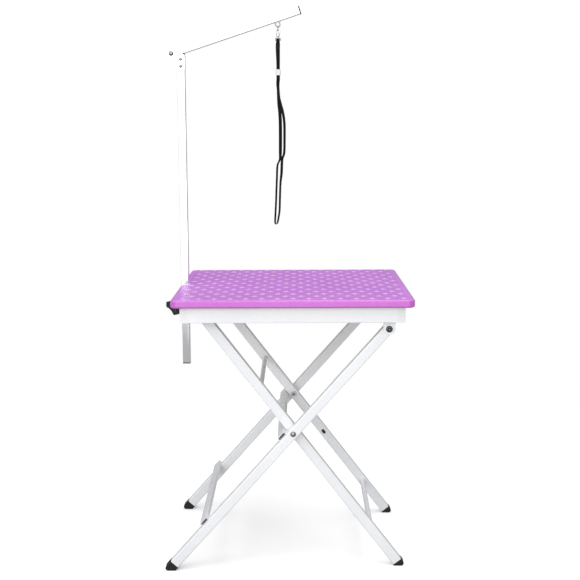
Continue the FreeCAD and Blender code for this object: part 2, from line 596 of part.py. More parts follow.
def build_outer_bars():
    """Flat box-section bars across the outer legs' upper faces."""
    width, height = 25.0, 10.0
    span = 2 * OUTER_LEG_FACE
    section = tube(span, width, height, 1.5, 2.0, -span / 2)
    section.rotate(Vector(0, 0, 0), Vector(0, 0, 1), 90)
    # the middle bar is where the opened inner legs come to rest
    stop_reach = 23.2
    lower_reach = 325.0
    lift = LEG_SIZE / 2 + height / 2
    for name, reach in (("outer_mid_bar", stop_reach), ("outer_lower_bar", lower_reach)):
        place = on_line(HINGE, OUTER_HEADING, HINGE_TO_CROSSING + reach, -lift)
        parts[name] = aimed(section, OUTER_HEADING, place)


def build_inner_legs():
    tube_end_along = (CROSSING.z - INNER_FOOT_HEIGHT) / math.sin(math.radians(INNER_SLOPE))
    leg = leg_tube(CATCH_REACH + tube_end_along, (CATCH_REACH,), True)
    for name, y in (("front", -INNER_LEG_Y), ("back", INNER_LEG_Y)):
        parts["inner_leg_" + name] = aimed(leg, INNER_HEADING, CATCH + Vector(0, y, 0))
        end = on_line(CROSSING, INNER_HEADING, tube_end_along)
        parts["inner_foot_" + name] = rubber_foot(end, INNER_HEADING, y)
    bars = (("inner_top_tube", -CATCH_REACH, 10.0), ("inner_upper_rod", -136.0, 6.0),
            ("inner_lower_rod", 332.0, 6.5))
    for name, reach, radius in bars:
        place = on_line(CROSSING, INNER_HEADING, reach)
        solid = rod(radius, place - Vector(0, INNER_LEG_FACE, 0), place + Vector(0, INNER_LEG_FACE, 0))
        if name == "inner_top_tube":
            solid = solid.cut(rod(radius - 1.5, place - Vector(0, 200, 0), place + Vector(0, 200, 0)))
        parts[name] = solid
    build_leg_plugs()


def build_leg_plugs():
    """Oval plastic plugs on the inner legs' inside faces."""
    half_length, radius, height = 3.2, 4.0, 1.5
    slab = box((-half_length, half_length), (0, height), (-radius, radius))
    y_way = Vector(0, 1, 0)
    ends = [Part.makeCylinder(radius, height, Vector(x, 0, 0), y_way) for x in (-half_length, half_length)]
    plug = slab.fuse(ends[0]).fuse(ends[1]).removeSplitter()
    place = on_line(CROSSING, INNER_HEADING, 143.5, 0, INNER_LEG_FACE - height)
    plug = aimed(plug, INNER_HEADING, place)
    parts["leg_plugs"] = group([plug, mirrored(plug)])


def build_crossing_bolts():
    """The bolts that the legs scissor about, with spacers, washers and nuts."""
    x, z = CROSSING.x, CROSSING.z
    out = Vector(0, 1, 0)
    washer_height, nut_height = 1.4, 6.0
    inner_outside = INNER_LEG_Y + LEG_SIZE / 2
    outer_inside = OUTER_LEG_Y - LEG_SIZE / 2
    nut_base = INNER_LEG_FACE - 0.1 - washer_height
    bolt = rod(PIN_RADIUS, Vector(x, nut_base - nut_height - 1, z), Vector(x, OUTER_LEG_FACE, z))
    bolt = bolt.fuse(domed_head(7.5, 4.0, Vector(x, OUTER_LEG_FACE, z), out)).removeSplitter()
    bore = PIN_RADIUS + RUNNING
    spacer = washer(10.0, bore, outer_inside - inner_outside - 0.1, Vector(x, inner_outside + 0.1, z), out)
    flat_washer = washer(8.5, bore, washer_height, Vector(x, nut_base, z), out)
    nut = hexagon_nut(13.0, nut_height, bore, Vector(x, nut_base, z), -out)
    named = {"crossing_bolts": bolt, "crossing_spacers": spacer,
             "crossing_washers": flat_washer, "crossing_nuts": nut}
    for name, solid in named.items():
        parts[name] = group([solid, mirrored(solid)])


def build_all():
    build_board()
    build_apron()
    build_hinge_brackets()
    build_catches()
    build_sleeve()
    build_knob()
    build_post()
    build_arm()
    build_eye()
    build_swivel()
    build_strap()
    build_lock()
    build_outer_legs()
    build_inner_legs()
    build_crossing_bolts()


build_all()
os.makedirs("parts", exist_ok=True)
for node, shape in parts.items():
    shape.exportStep("parts/" + node + ".step")
    volume = sum(solid.Volume for solid in shape.Solids)
    print(node, len(shape.Solids), round(volume, 1), "valid" if shape.isValid() else "INVALID")
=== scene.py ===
import json
from math import cos, pi, radians, sin

import bmesh
import bpy
from mathutils import Matrix, Vector


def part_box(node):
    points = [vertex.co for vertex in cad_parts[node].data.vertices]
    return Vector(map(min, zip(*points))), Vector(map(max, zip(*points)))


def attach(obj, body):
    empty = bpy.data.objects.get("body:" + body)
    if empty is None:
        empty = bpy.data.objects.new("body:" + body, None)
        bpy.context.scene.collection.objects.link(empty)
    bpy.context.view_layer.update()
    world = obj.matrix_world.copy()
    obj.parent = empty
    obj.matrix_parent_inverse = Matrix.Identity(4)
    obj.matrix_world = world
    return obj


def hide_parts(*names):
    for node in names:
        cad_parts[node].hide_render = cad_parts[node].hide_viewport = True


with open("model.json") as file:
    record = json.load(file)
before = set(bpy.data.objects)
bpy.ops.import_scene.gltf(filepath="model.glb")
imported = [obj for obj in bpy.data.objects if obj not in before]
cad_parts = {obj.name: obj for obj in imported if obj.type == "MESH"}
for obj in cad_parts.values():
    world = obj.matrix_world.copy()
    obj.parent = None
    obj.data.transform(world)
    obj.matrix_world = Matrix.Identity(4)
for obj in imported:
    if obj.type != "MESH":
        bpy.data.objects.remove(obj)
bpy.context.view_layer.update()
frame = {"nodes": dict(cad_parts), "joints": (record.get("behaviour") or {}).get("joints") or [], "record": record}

MM = 0.001
BOARD_MIDDLE = sum(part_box("board_edge_trim"), Vector()) / 2

CAMERA_LENS = 60.1               # mm, on a 36 mm sensor
CAMERA_SHIFT = -0.0483           # the picture's middle is a little below the lens
CAMERA_PLACE = Vector((BOARD_MIDDLE.x + 0.0136, -2.5794, 1.1314))
CAMERA_TURN = (("Z", 0.473), ("X", 82.104), ("Z", -0.267))      # degrees, outermost first

# name, place, what it points at, its size, and its power in watts
SOFTBOXES = (
    ("front light", (-0.5, -4.6, 1.5), (0.0, 0.0, 0.9), (6.0, 3.4), 140.0),
    ("left light", (-2.6, -2.0, 2.4), (0.0, 0.0, 0.6), (1.6, 1.6), 30.0),
    ("top light", (0.4, -0.3, 3.4), (0.0, 0.0, 0.0), (3.4, 3.4), 85.0),
)
ROOM_GLOW = 0.46                 # strength of the light from all round
FLOOR_RADIUS = 1.7
FLOOR_GLOW = 0.24

PLY = 3.2 * MM
STITCH = (1.25 * MM, 0.5 * MM, 0.42 * MM)        # length, width and height of a bead
STITCH_SPACING = 1.5 * MM
WELD = (2.2 * MM, 2.6 * MM, 2.0 * MM)
WELD_SPACING = 1.3 * MM


# ---- camera and light ------------------------------------------------------
def set_camera():
    """A long lens in front of the table, a little above the board."""
    lens = bpy.data.cameras.new("camera")
    lens.sensor_width = 36.0
    lens.lens = CAMERA_LENS
    lens.shift_y = CAMERA_SHIFT
    camera = bpy.data.objects.new("camera", lens)
    first, second, third = (Matrix.Rotation(radians(angle), 4, axis) for axis, angle in CAMERA_TURN)
    camera.matrix_world = Matrix.Translation(CAMERA_PLACE) @ (first @ second) @ third
    bpy.context.scene.collection.objects.link(camera)
    bpy.context.scene.camera = camera


def add_softbox(name, place, aim, size, power):
    """A rectangular light that faces the point it aims at."""
    light = bpy.data.lights.new(name, "AREA")
    light.shape = "RECTANGLE"
    light.size, light.size_y = size
    light.energy = power
    box = bpy.data.objects.new(name, light)
    box.location = place
    box.rotation_euler = (Vector(aim) - Vector(place)).to_track_quat("-Z", "Y").to_euler()
    bpy.context.scene.collection.objects.link(box)


def set_world(strength):
    """Soft light from all round; the camera itself sees plain white."""
    world = bpy.data.worlds.new("studio")
    world.use_nodes = True
    tree = world.node_tree
    background = tree.nodes["Background"]
    seen = tree.nodes.new("ShaderNodeBackground")
    background.inputs["Color"].default_value = (0.97, 0.98, 1.0, 1.0)
    background.inputs["Strength"].default_value = strength
    seen.inputs["Color"].default_value = (1.0, 1.0, 1.0, 1.0)
    path = tree.nodes.new("ShaderNodeLightPath")
    mix = tree.nodes.new("ShaderNodeMixShader")
    tree.links.new(path.outputs["Is Camera Ray"], mix.inputs[0])
    tree.links.new(background.outputs[0], mix.inputs[1])
    tree.links.new(seen.outputs[0], mix.inputs[2])
    tree.links.new(mix.outputs[0], tree.nodes["World Output"].inputs["Surface"])
    bpy.context.scene.world = world


# ---- nodes -----------------------------------------------------------------
def plug_in(tree, socket, value):
    """Link a socket, or give it a plain value."""
    if isinstance(value, bpy.types.NodeSocket):
        tree.links.new(value, socket)
    else:
        socket.default_value = value


def put(tree, kind, inputs=None, **settings):
    """Add a node with its settings and inputs."""
    node = tree.nodes.new(kind)
    for name, value in settings.items():
        setattr(node, name, value)
    for name, value in (inputs or {}).items():
        plug_in(tree, node.inputs[name], value)
    return node


def new_group(name, inputs, outputs):
    """An empty shader group with named sockets, and its two end nodes."""
    tree = bpy.data.node_groups.new(name, "ShaderNodeTree")
    for label, value in inputs:
        kind = "NodeSocketColor" if isinstance(value, tuple) else "NodeSocketFloat"
        socket = tree.interface.new_socket(label, in_out="INPUT", socket_type=kind)
        socket.default_value = value
    for label, kind in outputs:
        tree.interface.new_socket(label, in_out="OUTPUT", socket_type="NodeSocket" + kind)
    return tree, tree.nodes.new("NodeGroupInput"), tree.nodes.new("NodeGroupOutput")


def maths(tree, operation, first, second=0.0, clamp=False):
    node = put(tree, "ShaderNodeMath", {0: first, 1: second}, operation=operation, use_clamp=clamp)
    return node.outputs[0]


def blend_colours(tree, factor, first, second, kind="MIX"):
    node = put(tree, "ShaderNodeMix", data_type="RGBA", blend_type=kind)
    plug_in(tree, node.inputs["Factor"], factor)
    plug_in(tree, node.inputs[6], first)
    plug_in(tree, node.inputs[7], second)
    return node.outputs[2]


def object_point(tree, stretch=(1.0, 1.0, 1.0)):
    """The place on the object, stretched along each axis."""
    place = put(tree, "ShaderNodeTexCoord").outputs["Object"]
    return put(tree, "ShaderNodeMapping", {"Vector": place, "Scale": stretch}).outputs[0]


def noise(tree, point, scale, detail=2.0, roughness=0.5):
    return put(tree, "ShaderNodeTexNoise", {"Vector": point, "Scale": scale, "Detail": detail,
                                            "Roughness": roughness}).outputs["Fac"]


def ramp(tree, value, low, high, to_low=0.0, to_high=1.0):
    return put(tree, "ShaderNodeMapRange", {"Value": value, "From Min": low, "From Max": high,
                                            "To Min": to_low, "To Max": to_high}).outputs[0]


def build_tone_group():
    """Slow drift between two close colours, with a little finer cloud in it."""
    tree, given, result = new_group(
        "tone drift", (("Dark", (0.5, 0.5, 0.5, 1.0)), ("Light", (0.6, 0.6, 0.6, 1.0)),
                       ("Scale", 6.0), ("Fine Scale", 90.0)), (("Color", "Color"),))
    point = object_point(tree)
    slow = ramp(tree, noise(tree, point, given.outputs["Scale"], 3.0), 0.3, 0.7)
    fine = ramp(tree, noise(tree, point, given.outputs["Fine Scale"], 2.0), 0.25, 0.75)
    factor = maths(tree, "ADD", maths(tree, "MULTIPLY", slow, 0.7), maths(tree, "MULTIPLY", fine, 0.3), True)
    colour = blend_colours(tree, factor, given.outputs["Dark"], given.outputs["Light"])
    plug_in(tree, result.inputs["Color"], colour)
    return tree


def build_grain_group():
    """A moulded or sprayed skin: soft dimples with a finer tooth."""
    tree, given, result = new_group("skin grain", (("Scale", 400.0), ("Tooth Scale", 1800.0), ("Tooth", 0.3)),
                                    (("Height", "Float"),))
    point = object_point(tree)
    dimple = put(tree, "ShaderNodeTexVoronoi", {"Vector": point, "Scale": given.outputs["Scale"]},
                 feature="SMOOTH_F1").outputs["Distance"]
    tooth = noise(tree, point, given.outputs["Tooth Scale"], 2.0)
    height = maths(tree, "ADD", dimple, maths(tree, "MULTIPLY", tooth, given.outputs["Tooth"]))
    plug_in(tree, result.inputs["Height"], height)
    return tree


def build_gloss_group():
    """Roughness that wanders, with faint smears and small rubbed spots."""
    tree, given, result = new_group("gloss drift", (("Polished", 0.2), ("Dull", 0.35), ("Scale", 14.0)),
                                    (("Roughness", "Float"), ("Rubbed", "Float")))
    broad = noise(tree, object_point(tree, (1.0, 1.0, 0.35)), given.outputs["Scale"], 4.0, 0.6)
    spots = noise(tree, object_point(tree), maths(tree, "MULTIPLY", given.outputs["Scale"], 9.0), 3.0, 0.7)
    rubbed = ramp(tree, spots, 0.62, 0.74)
    drift = ramp(tree, broad, 0.3, 0.7)
    mixed = maths(tree, "ADD", drift, maths(tree, "MULTIPLY", rubbed, 0.35), True)
    span = maths(tree, "SUBTRACT", given.outputs["Dull"], given.outputs["Polished"])
    plug_in(tree, result.inputs["Roughness"],
            maths(tree, "ADD", given.outputs["Polished"], maths(tree, "MULTIPLY", mixed, span)))
    plug_in(tree, result.inputs["Rubbed"], rubbed)
    return tree


def build_streak_group():
    """Fine drawing lines that run with the tube, and a few longer scratches."""
    tree, given, result = new_group(
        "draw lines", (("Along X", 1.0), ("Along Y", 1.0), ("Along Z", 1.0), ("Scale", 900.0)),
        (("Height", "Float"), ("Line", "Float")))
    stretch = put(tree, "ShaderNodeCombineXYZ", {
        axis: given.outputs["Along " + axis] for axis in ("X", "Y", "Z")}).outputs[0]
    place = put(tree, "ShaderNodeTexCoord").outputs["Object"]
    point = put(tree, "ShaderNodeVectorMath", {0: place, 1: stretch}, operation="MULTIPLY").outputs[0]
    fine = noise(tree, point, given.outputs["Scale"], 2.0, 0.6)
    coarse = noise(tree, point, maths(tree, "MULTIPLY", given.outputs["Scale"], 0.22), 1.0)
    line = ramp(tree, coarse, 0.66, 0.7)
    plug_in(tree, result.inputs["Height"], maths(tree, "ADD", fine, maths(tree, "MULTIPLY", line, -0.4)))
    plug_in(tree, result.inputs["Line"], line)
    return tree


def build_weave_group():
    """Plain-woven nylon tape on its own map: U across the tape, V along it."""
    tree, given, result = new_group("tape weave", (("Across", 7.0), ("Along", 1.0), ("Ribs", 2.0)),
                                    (("Height", "Float"), ("Thread", "Float")))
    parts = put(tree, "ShaderNodeSeparateXYZ", {"Vector": put(tree, "ShaderNodeTexCoord").outputs["UV"]})
    across = maths(tree, "MULTIPLY", parts.outputs["X"], maths(tree, "MULTIPLY", given.outputs["Across"], pi))
    along = maths(tree, "MULTIPLY", parts.outputs["Y"], maths(tree, "MULTIPLY", given.outputs["Along"], pi))
    warp = maths(tree, "ABSOLUTE", maths(tree, "SINE", across))
    slanted = maths(tree, "ADD", along, maths(tree, "MULTIPLY", across, 0.5))
    weft = maths(tree, "ABSOLUTE", maths(tree, "SINE", slanted))
    thread = maths(tree, "MULTIPLY", warp, weft)
    turns = maths(tree, "MULTIPLY", parts.outputs["X"], maths(tree, "MULTIPLY", given.outputs["Ribs"], pi))
    rib = maths(tree, "ABSOLUTE", maths(tree, "SINE", turns))
    fuzz = noise(tree, object_point(tree), 2600.0, 2.0)
    height = maths(tree, "ADD", thread, maths(tree, "MULTIPLY", rib, 0.6))
    plug_in(tree, result.inputs["Height"], maths(tree, "ADD", height, maths(tree, "MULTIPLY", fuzz, 0.35)))
    plug_in(tree, result.inputs["Thread"], thread)
    return tree


TONE = build_tone_group()
GRAIN = build_grain_group()
GLOSS = build_gloss_group()
STREAK = build_streak_group()
WEAVE = build_weave_group()


def use(tree, group, inputs=None):
    """Put one of the groups into a material."""
    node = tree.nodes.new("ShaderNodeGroup")
    node.node_tree = group
    for name, value in (inputs or {}).items():
        plug_in(tree, node.inputs[name], value)
    return node


# ---- materials -------------------------------------------------------------
def new_finish(name, values):
    """A material with plain values on the shader's own sockets."""
    finish = bpy.data.materials.new(name)
    finish.use_nodes = True
    shader = finish.node_tree.nodes["Principled BSDF"]
    for socket, value in values.items():
        shader.inputs[socket].default_value = value
    return finish, finish.node_tree, shader


def raise_bump(tree, shader, height, strength, distance):
    """Small relief, from a height to the shader's normal."""
    bump = put(tree, "ShaderNodeBump", {"Height": height, "Strength": strength, "Distance": distance})
    plug_in(tree, shader.inputs["Normal"], bump.outputs[0])


def moulded(name, dark, light, gloss, grain, bump, values):
    """A coated, moulded or plated finish: drifting tone, wandering gloss and a grained skin."""
    finish, tree, shader = new_finish(name, values)
    tone = use(tree, TONE, {"Dark": dark + (1.0,), "Light": light + (1.0,)})
    sheen = use(tree, GLOSS, {"Polished": gloss[0], "Dull": gloss[1]})
    paler = tuple(min(1.0, value * 1.12 + 0.01) for value in light) + (1.0,)
    rubbed = maths(tree, "MULTIPLY", sheen.outputs["Rubbed"], 0.5)
    plug_in(tree, shader.inputs["Base Color"], blend_colours(tree, rubbed, tone.outputs["Color"], paler))
    plug_in(tree, shader.inputs["Roughness"], sheen.outputs["Roughness"])
    skin = use(tree, GRAIN, {"Scale": grain[0], "Tooth Scale": grain[1], "Tooth": grain[2]})
    raise_bump(tree, shader, skin.outputs["Height"], bump[0], bump[1])
    return finish


def drawn_steel(name, dark, light, gloss, along, values):
    """Bright steel tube with the drawing lines running one way."""
    finish, tree, shader = new_finish(name, values)
    tone = use(tree, TONE, {"Dark": dark + (1.0,), "Light": light + (1.0,), "Scale": 3.0})
    lines = use(tree, STREAK, {"Along X": along[0], "Along Y": along[1], "Along Z": along[2]})
    drift = use(tree, GLOSS, {"Polished": gloss[0], "Dull": gloss[1], "Scale": 9.0})
    share = maths(tree, "MULTIPLY", lines.outputs["Line"], 0.12)
    darker = blend_colours(tree, share, tone.outputs["Color"], (0.3, 0.3, 0.32, 1.0))
    plug_in(tree, shader.inputs["Base Color"], darker)
    rough = maths(tree, "ADD", drift.outputs["Roughness"], maths(tree, "MULTIPLY", lines.outputs["Line"], 0.1))
    plug_in(tree, shader.inputs["Roughness"], rough)
    raise_bump(tree, shader, lines.outputs["Height"], 0.05, 0.00002)
    return finish


def webbing(name, dark, light):
    """Woven black tape, with a painted highlight on the crowns of its threads: there the colour is a little paler.
    """
    finish, tree, shader = new_finish(name, {"Sheen Weight": 0.02, "Sheen Roughness": 0.4,
                                             "Specular IOR Level": 0.18})
    weave = use(tree, WEAVE, {"Across": 9.0, "Along": 1.0, "Ribs": 2.0})
    tone = use(tree, TONE, {"Dark": dark + (1.0,), "Light": light + (1.0,), "Scale": 20.0, "Fine Scale": 600.0})
    # painted highlight: the thread crowns' colour is paler, standing in for the light that catches them
    painted_crown_highlight = tuple(value * 2.2 for value in light) + (1.0,)
    share = maths(tree, "MULTIPLY", weave.outputs["Thread"], 0.55)
    shaded = blend_colours(tree, share, tone.outputs["Color"], painted_crown_highlight)
    plug_in(tree, shader.inputs["Base Color"], shaded)
    plug_in(tree, shader.inputs["Roughness"], ramp(tree, weave.outputs["Thread"], 0.0, 1.0, 0.85, 0.55))
    raise_bump(tree, shader, weave.outputs["Height"], 0.8, 0.0004)
    return finish


def plywood(name):
    """Sealed plywood: long grain on the faces, dark pores, plies at the edge."""
    finish, tree, shader = new_finish(name, {"Specular IOR Level": 0.3})
    grain = noise(tree, object_point(tree, (3.0, 60.0, 60.0)), 3.0, 6.0, 0.62)
    pores = ramp(tree, noise(tree, object_point(tree, (12.0, 420.0, 420.0)), 3.0, 2.0), 0.62, 0.7)
    place = put(tree, "ShaderNodeTexCoord").outputs["Object"]
    height = put(tree, "ShaderNodeSeparateXYZ", {"Vector": place})
    plies = maths(tree, "SINE", maths(tree, "MULTIPLY", height.outputs["Z"], 2 * pi / PLY))
    tone = use(tree, TONE, {"Dark": (0.46, 0.29, 0.15, 1.0), "Light": (0.66, 0.47, 0.28, 1.0), "Scale": 5.0})
    dark_grain = ramp(tree, grain, 0.35, 0.7)
    grained = blend_colours(tree, dark_grain, tone.outputs["Color"], (0.36, 0.21, 0.1, 1.0))
    pored = blend_colours(tree, maths(tree, "MULTIPLY", pores, 0.5), grained, (0.16, 0.09, 0.04, 1.0))
    layered = blend_colours(tree, ramp(tree, plies, -0.6, 0.6, 0.0, 0.16), pored, (0.25, 0.14, 0.07, 1.0))
    plug_in(tree, shader.inputs["Base Color"], layered)
    plug_in(tree, shader.inputs["Roughness"], ramp(tree, grain, 0.3, 0.7, 0.5, 0.72))
    relief = maths(tree, "SUBTRACT", grain, maths(tree, "MULTIPLY", pores, 0.6))
    raise_bump(tree, shader, relief, 0.35, 0.0004)
    return finish


# moulded: name, darkest and palest tone, lowest and highest roughness, the grain's scale, its tooth's
# scale and share, the bump's strength and height, and plain values on the shader
finishes = {
    "purple_mat": moulded("purple_mat", (0.41, 0.135, 0.52), (0.48, 0.170, 0.58), (0.36, 0.52),
                          (520.0, 2400.0, 0.5), (0.25, 0.0002), {"Specular IOR Level": 0.5}),
    # painted highlight: the studs' colour is paler than the mat's rubber, standing in for the light on their
    # raised tops
    "mat_studs_painted_light": moulded("mat_studs_painted_light", (0.50, 0.30, 0.54), (0.58, 0.37, 0.60), (0.30, 0.46),
                         (620.0, 2600.0, 0.5), (0.2, 0.0002), {"Specular IOR Level": 0.5}),
    # painted shade: the pips' colour is deeper than the mat's rubber, standing in for the shade in the grooves
    # between them
    "mat_pips_painted_shade": moulded("mat_pips_painted_shade", (0.31, 0.075, 0.40), (0.38, 0.105, 0.47), (0.36, 0.52),
                        (620.0, 2600.0, 0.5), (0.2, 0.0002), {"Specular IOR Level": 0.5}),
    "purple_trim": moulded("purple_trim", (0.50, 0.105, 0.52), (0.57, 0.14, 0.59), (0.10, 0.18),
                           (260.0, 1500.0, 0.2), (0.06, 0.0002), {"Coat Weight": 0.35, "Coat Roughness": 0.12}),
    "wood_core": plywood("wood_core"),
    "white_paint": moulded("white_paint", (0.80, 0.81, 0.83), (0.86, 0.87, 0.88), (0.22, 0.34),
                           (330.0, 1300.0, 0.25), (0.1, 0.0002), {"Coat Weight": 0.25, "Coat Roughness": 0.1}),
    "white_plastic": moulded("white_plastic", (0.76, 0.77, 0.78), (0.84, 0.84, 0.84), (0.32, 0.46),
                             (900.0, 3000.0, 0.4), (0.15, 0.0001), {"Specular IOR Level": 0.45}),
    "polished_steel": drawn_steel("polished_steel", (0.86, 0.86, 0.87), (0.93, 0.93, 0.94), (0.08, 0.16),
                                  (1.0, 1.0, 0.02), {"Metallic": 1.0}),
    "arm_steel": drawn_steel("arm_steel", (0.86, 0.86, 0.87), (0.93, 0.93, 0.94), (0.08, 0.16),
                             (0.02, 1.0, 0.9), {"Metallic": 1.0}),
    "zinc_steel": moulded("zinc_steel", (0.56, 0.54, 0.51), (0.74, 0.72, 0.68), (0.24, 0.42),
                          (700.0, 2400.0, 0.6), (0.12, 0.0001), {"Metallic": 1.0}),
    "lock_steel": drawn_steel("lock_steel", (0.34, 0.31, 0.295), (0.43, 0.40, 0.385), (0.2, 0.3),
                              (0.1, 0.1, 1.0), {"Metallic": 1.0}),
    # painted shade: a near-black steel for the hinge pins and their heads, its dark colour standing in for the
    # shade on the domed heads
    "rivet_painted_shade_steel": moulded("rivet_painted_shade_steel", (0.105, 0.095, 0.09), (0.17, 0.155, 0.145), (0.26, 0.4),
                           (700.0, 2400.0, 0.6), (0.12, 0.0001), {"Metallic": 1.0}),
    "bolt_steel": moulded("bolt_steel", (0.24, 0.205, 0.185), (0.40, 0.36, 0.33), (0.2, 0.36),
                          (700.0, 2400.0, 0.6), (0.12, 0.0001), {"Metallic": 1.0}),
    "black_plastic": moulded("black_plastic", (0.005, 0.005, 0.006), (0.012, 0.012, 0.013), (0.28, 0.46),
                             (1100.0, 3200.0, 0.6), (0.3, 0.0001), {"Specular IOR Level": 0.5}),
    "black_rubber": moulded("black_rubber", (0.006, 0.006, 0.007), (0.014, 0.014, 0.015), (0.46, 0.66),
                            (800.0, 2600.0, 0.8), (0.4, 0.0001), {"Specular IOR Level": 0.4}),
    "black_webbing": webbing("black_webbing", (0.0012, 0.0012, 0.0016), (0.003, 0.003, 0.0036)),
    "tape_stitching": moulded("tape_stitching", (0.016, 0.016, 0.018), (0.04, 0.04, 0.044), (0.4, 0.6),
                              (2600.0, 6000.0, 0.8), (0.5, 0.0001), {"Sheen Weight": 0.2}),
}


# ---- pieces ----------------------------------------------------------------
def show(name, mesh, finish):
    """A new piece with one material, at the origin."""
    piece = bpy.data.objects.new(name, mesh)
    bpy.context.scene.collection.objects.link(piece)
    mesh.materials.clear()
    mesh.materials.append(finishes[finish])
    return piece


def settle(piece):
    """Turn the piece's modifiers into its plain mesh."""
    graph = bpy.context.evaluated_depsgraph_get()
    mesh = bpy.data.meshes.new_from_object(piece.evaluated_get(graph))
    piece.modifiers.clear()
    piece.data = mesh
    mesh.name = piece.name


def smooth_by_angle(mesh, angle):
    """Smooth shading, with edges kept sharp past an angle in degrees."""
    mesh.shade_smooth()
    mesh.set_sharp_from_angle(angle=radians(angle))


def face_outward(mesh):
    """Turn a closed mesh's faces outward."""
    shape = bmesh.new()
    shape.from_mesh(mesh)
    bmesh.ops.recalc_face_normals(shape, faces=shape.faces)
    shape.to_mesh(mesh)
    shape.free()


def hand_over(piece, body, slot, *nodes):
    """Say what the piece rides on and which solids it stands for; the slot, the finish it takes, is not used."""
    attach(piece, body)
    if nodes:
        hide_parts(*nodes)


def merged_copy(node):
    """A CAD solid's mesh, merged and with its flat faces whole."""
    shape = bmesh.new()
    shape.from_mesh(frame["nodes"][node].data)
    bmesh.ops.remove_doubles(shape, verts=shape.verts, dist=2e-6)
    flat = radians(0.4)
    bmesh.ops.dissolve_limit(shape, angle_limit=flat, verts=shape.verts, edges=shape.edges)
    shape.verts.index_update()
    points = [vert.co.copy() for vert in shape.verts]
    faces = [[vert.index for vert in face.verts] for face in shape.faces]
    shape.free()
    mesh = bpy.data.meshes.new(node)
    mesh.from_pydata(points, [], faces)
    return mesh


def eased(node, slot, width, finish=None):
    """A hard part with its sharp edges eased, so that they catch the light."""
    piece = show(node + "_eased", merged_copy(node), finish or slot)
    smooth_by_angle(piece.data, 32)
    bevel = piece.modifiers.new("ease", "BEVEL")
    bevel.width = width * MM
    bevel.segments = 2
    bevel.limit_method = "ANGLE"
    bevel.angle_limit = radians(40)
    bevel.harden_normals = True
    settle(piece)
    hand_over(piece, node_bodies[node], slot, node)


bodies = frame["record"]["behaviour"]["bodies"]
node_bodies = {node: body for body, nodes in bodies.items() for node in nodes}

# finish, width of the eased edge in mm, and the solids that get it
eased_parts = (
    ("zinc_steel", 0.35, ("arm_pivot_nut", "crossing_nuts", "crossing_washers", "eye_collars",
                          "swivel_barrel")),
    ("zinc_steel", 0.2, ("tab_screws", "catch_screws")),
    ("white_paint", 0.45, ("hinge_bracket_front", "hinge_bracket_back", "apron_tabs", "post_sleeve",
                           "clamp_boss")),
    ("white_plastic", 0.5, ("catch_front", "catch_back", "hinge_spacers", "crossing_spacers")),
    ("black_plastic", 0.5, ("post_top_pad", "post_bottom_plug")),
)


# ---- things that repeat ----------------------------------------------------
def new_geometry_tree(name, inputs):
    """A geometry tree with named inputs: sizes, and the material that it ends with."""
    tree = bpy.data.node_groups.new(name, "GeometryNodeTree")
    tree.interface.new_socket("Geometry", in_out="INPUT", socket_type="NodeSocketGeometry")
    for label, kind in inputs:
        tree.interface.new_socket(label, in_out="INPUT", socket_type="NodeSocket" + kind)
    tree.interface.new_socket("Geometry", in_out="OUTPUT", socket_type="NodeSocketGeometry")
    return tree, tree.nodes.new("NodeGroupInput"), tree.nodes.new("NodeGroupOutput")


def run_tree(piece, tree, values):
    """Give the tree its values by socket, then turn its result into a plain mesh."""
    modifier = piece.modifiers.new(tree.name, "NODES")
    modifier.node_group = tree
    items = tree.interface.items_tree
    sockets = {item.name: item.identifier for item in items if item.in_out == "INPUT"}
    for name, value in values.items():
        modifier[sockets[name]] = value
    settle(piece)


def build_bead_tree():
    """Small rounded beads along a path, turned to follow it: stitches, or a weld's ripples."""
    tree, given, result = new_geometry_tree("beads along a path", (
        ("Spacing", "Float"), ("Bead Length", "Float"), ("Bead Width", "Float"), ("Bead Height", "Float"),
        ("Seed", "Int"), ("Material", "Material")))
    path = put(tree, "GeometryNodeMeshToCurve", {"Mesh": given.outputs["Geometry"]})
    steps = put(tree, "GeometryNodeResampleCurve", {
        "Curve": path.outputs[0], "Length": given.outputs["Spacing"]}, mode="LENGTH")
    points = put(tree, "GeometryNodeCurveToPoints", {"Curve": steps.outputs[0]}, mode="EVALUATED")
    bead = put(tree, "GeometryNodeMeshUVSphere", {"Segments": 8, "Rings": 6, "Radius": 0.5})
    along, across, up = (given.outputs["Bead " + way] for way in ("Length", "Width", "Height"))
    size = put(tree, "ShaderNodeCombineXYZ", {"X": across, "Y": up, "Z": along}).outputs[0]
    wobble = put(tree, "FunctionNodeRandomValue", {
        "Min": (0.88, 0.88, 0.92), "Max": (1.1, 1.1, 1.06), "Seed": given.outputs["Seed"]},
        data_type="FLOAT_VECTOR")
    scale = put(tree, "ShaderNodeVectorMath", {0: size, 1: wobble.outputs[0]},
                operation="MULTIPLY").outputs[0]
    placed = put(tree, "GeometryNodeInstanceOnPoints", {
        "Points": points.outputs["Points"], "Instance": bead.outputs[0],
        "Rotation": points.outputs["Rotation"], "Scale": scale})
    real = put(tree, "GeometryNodeRealizeInstances", {"Geometry": placed.outputs[0]})
    smooth = put(tree, "GeometryNodeSetShadeSmooth", {"Geometry": real.outputs[0]})
    dressed = put(tree, "GeometryNodeSetMaterial", {"Geometry": smooth.outputs[0],
                                                    "Material": given.outputs["Material"]})
    plug_in(tree, result.inputs[0], dressed.outputs[0])
    return tree


BEADS = build_bead_tree()


def beads(name, paths, finish, body, slot, size, spacing, seed):
    """Beads along one or more open paths, as one plain piece."""
    mesh = bpy.data.meshes.new(name)
    points, edges = [], []
    for path in paths:
        edges += [(len(points) + i, len(points) + i + 1) for i in range(len(path) - 1)]
        points += path
    mesh.from_pydata(points, edges, [])
    piece = show(name, mesh, finish)
    run_tree(piece, BEADS, {"Spacing": spacing, "Bead Length": size[0], "Bead Width": size[1],
                            "Bead Height": size[2], "Seed": seed, "Material": finishes[finish]})
    hand_over(piece, body, slot)


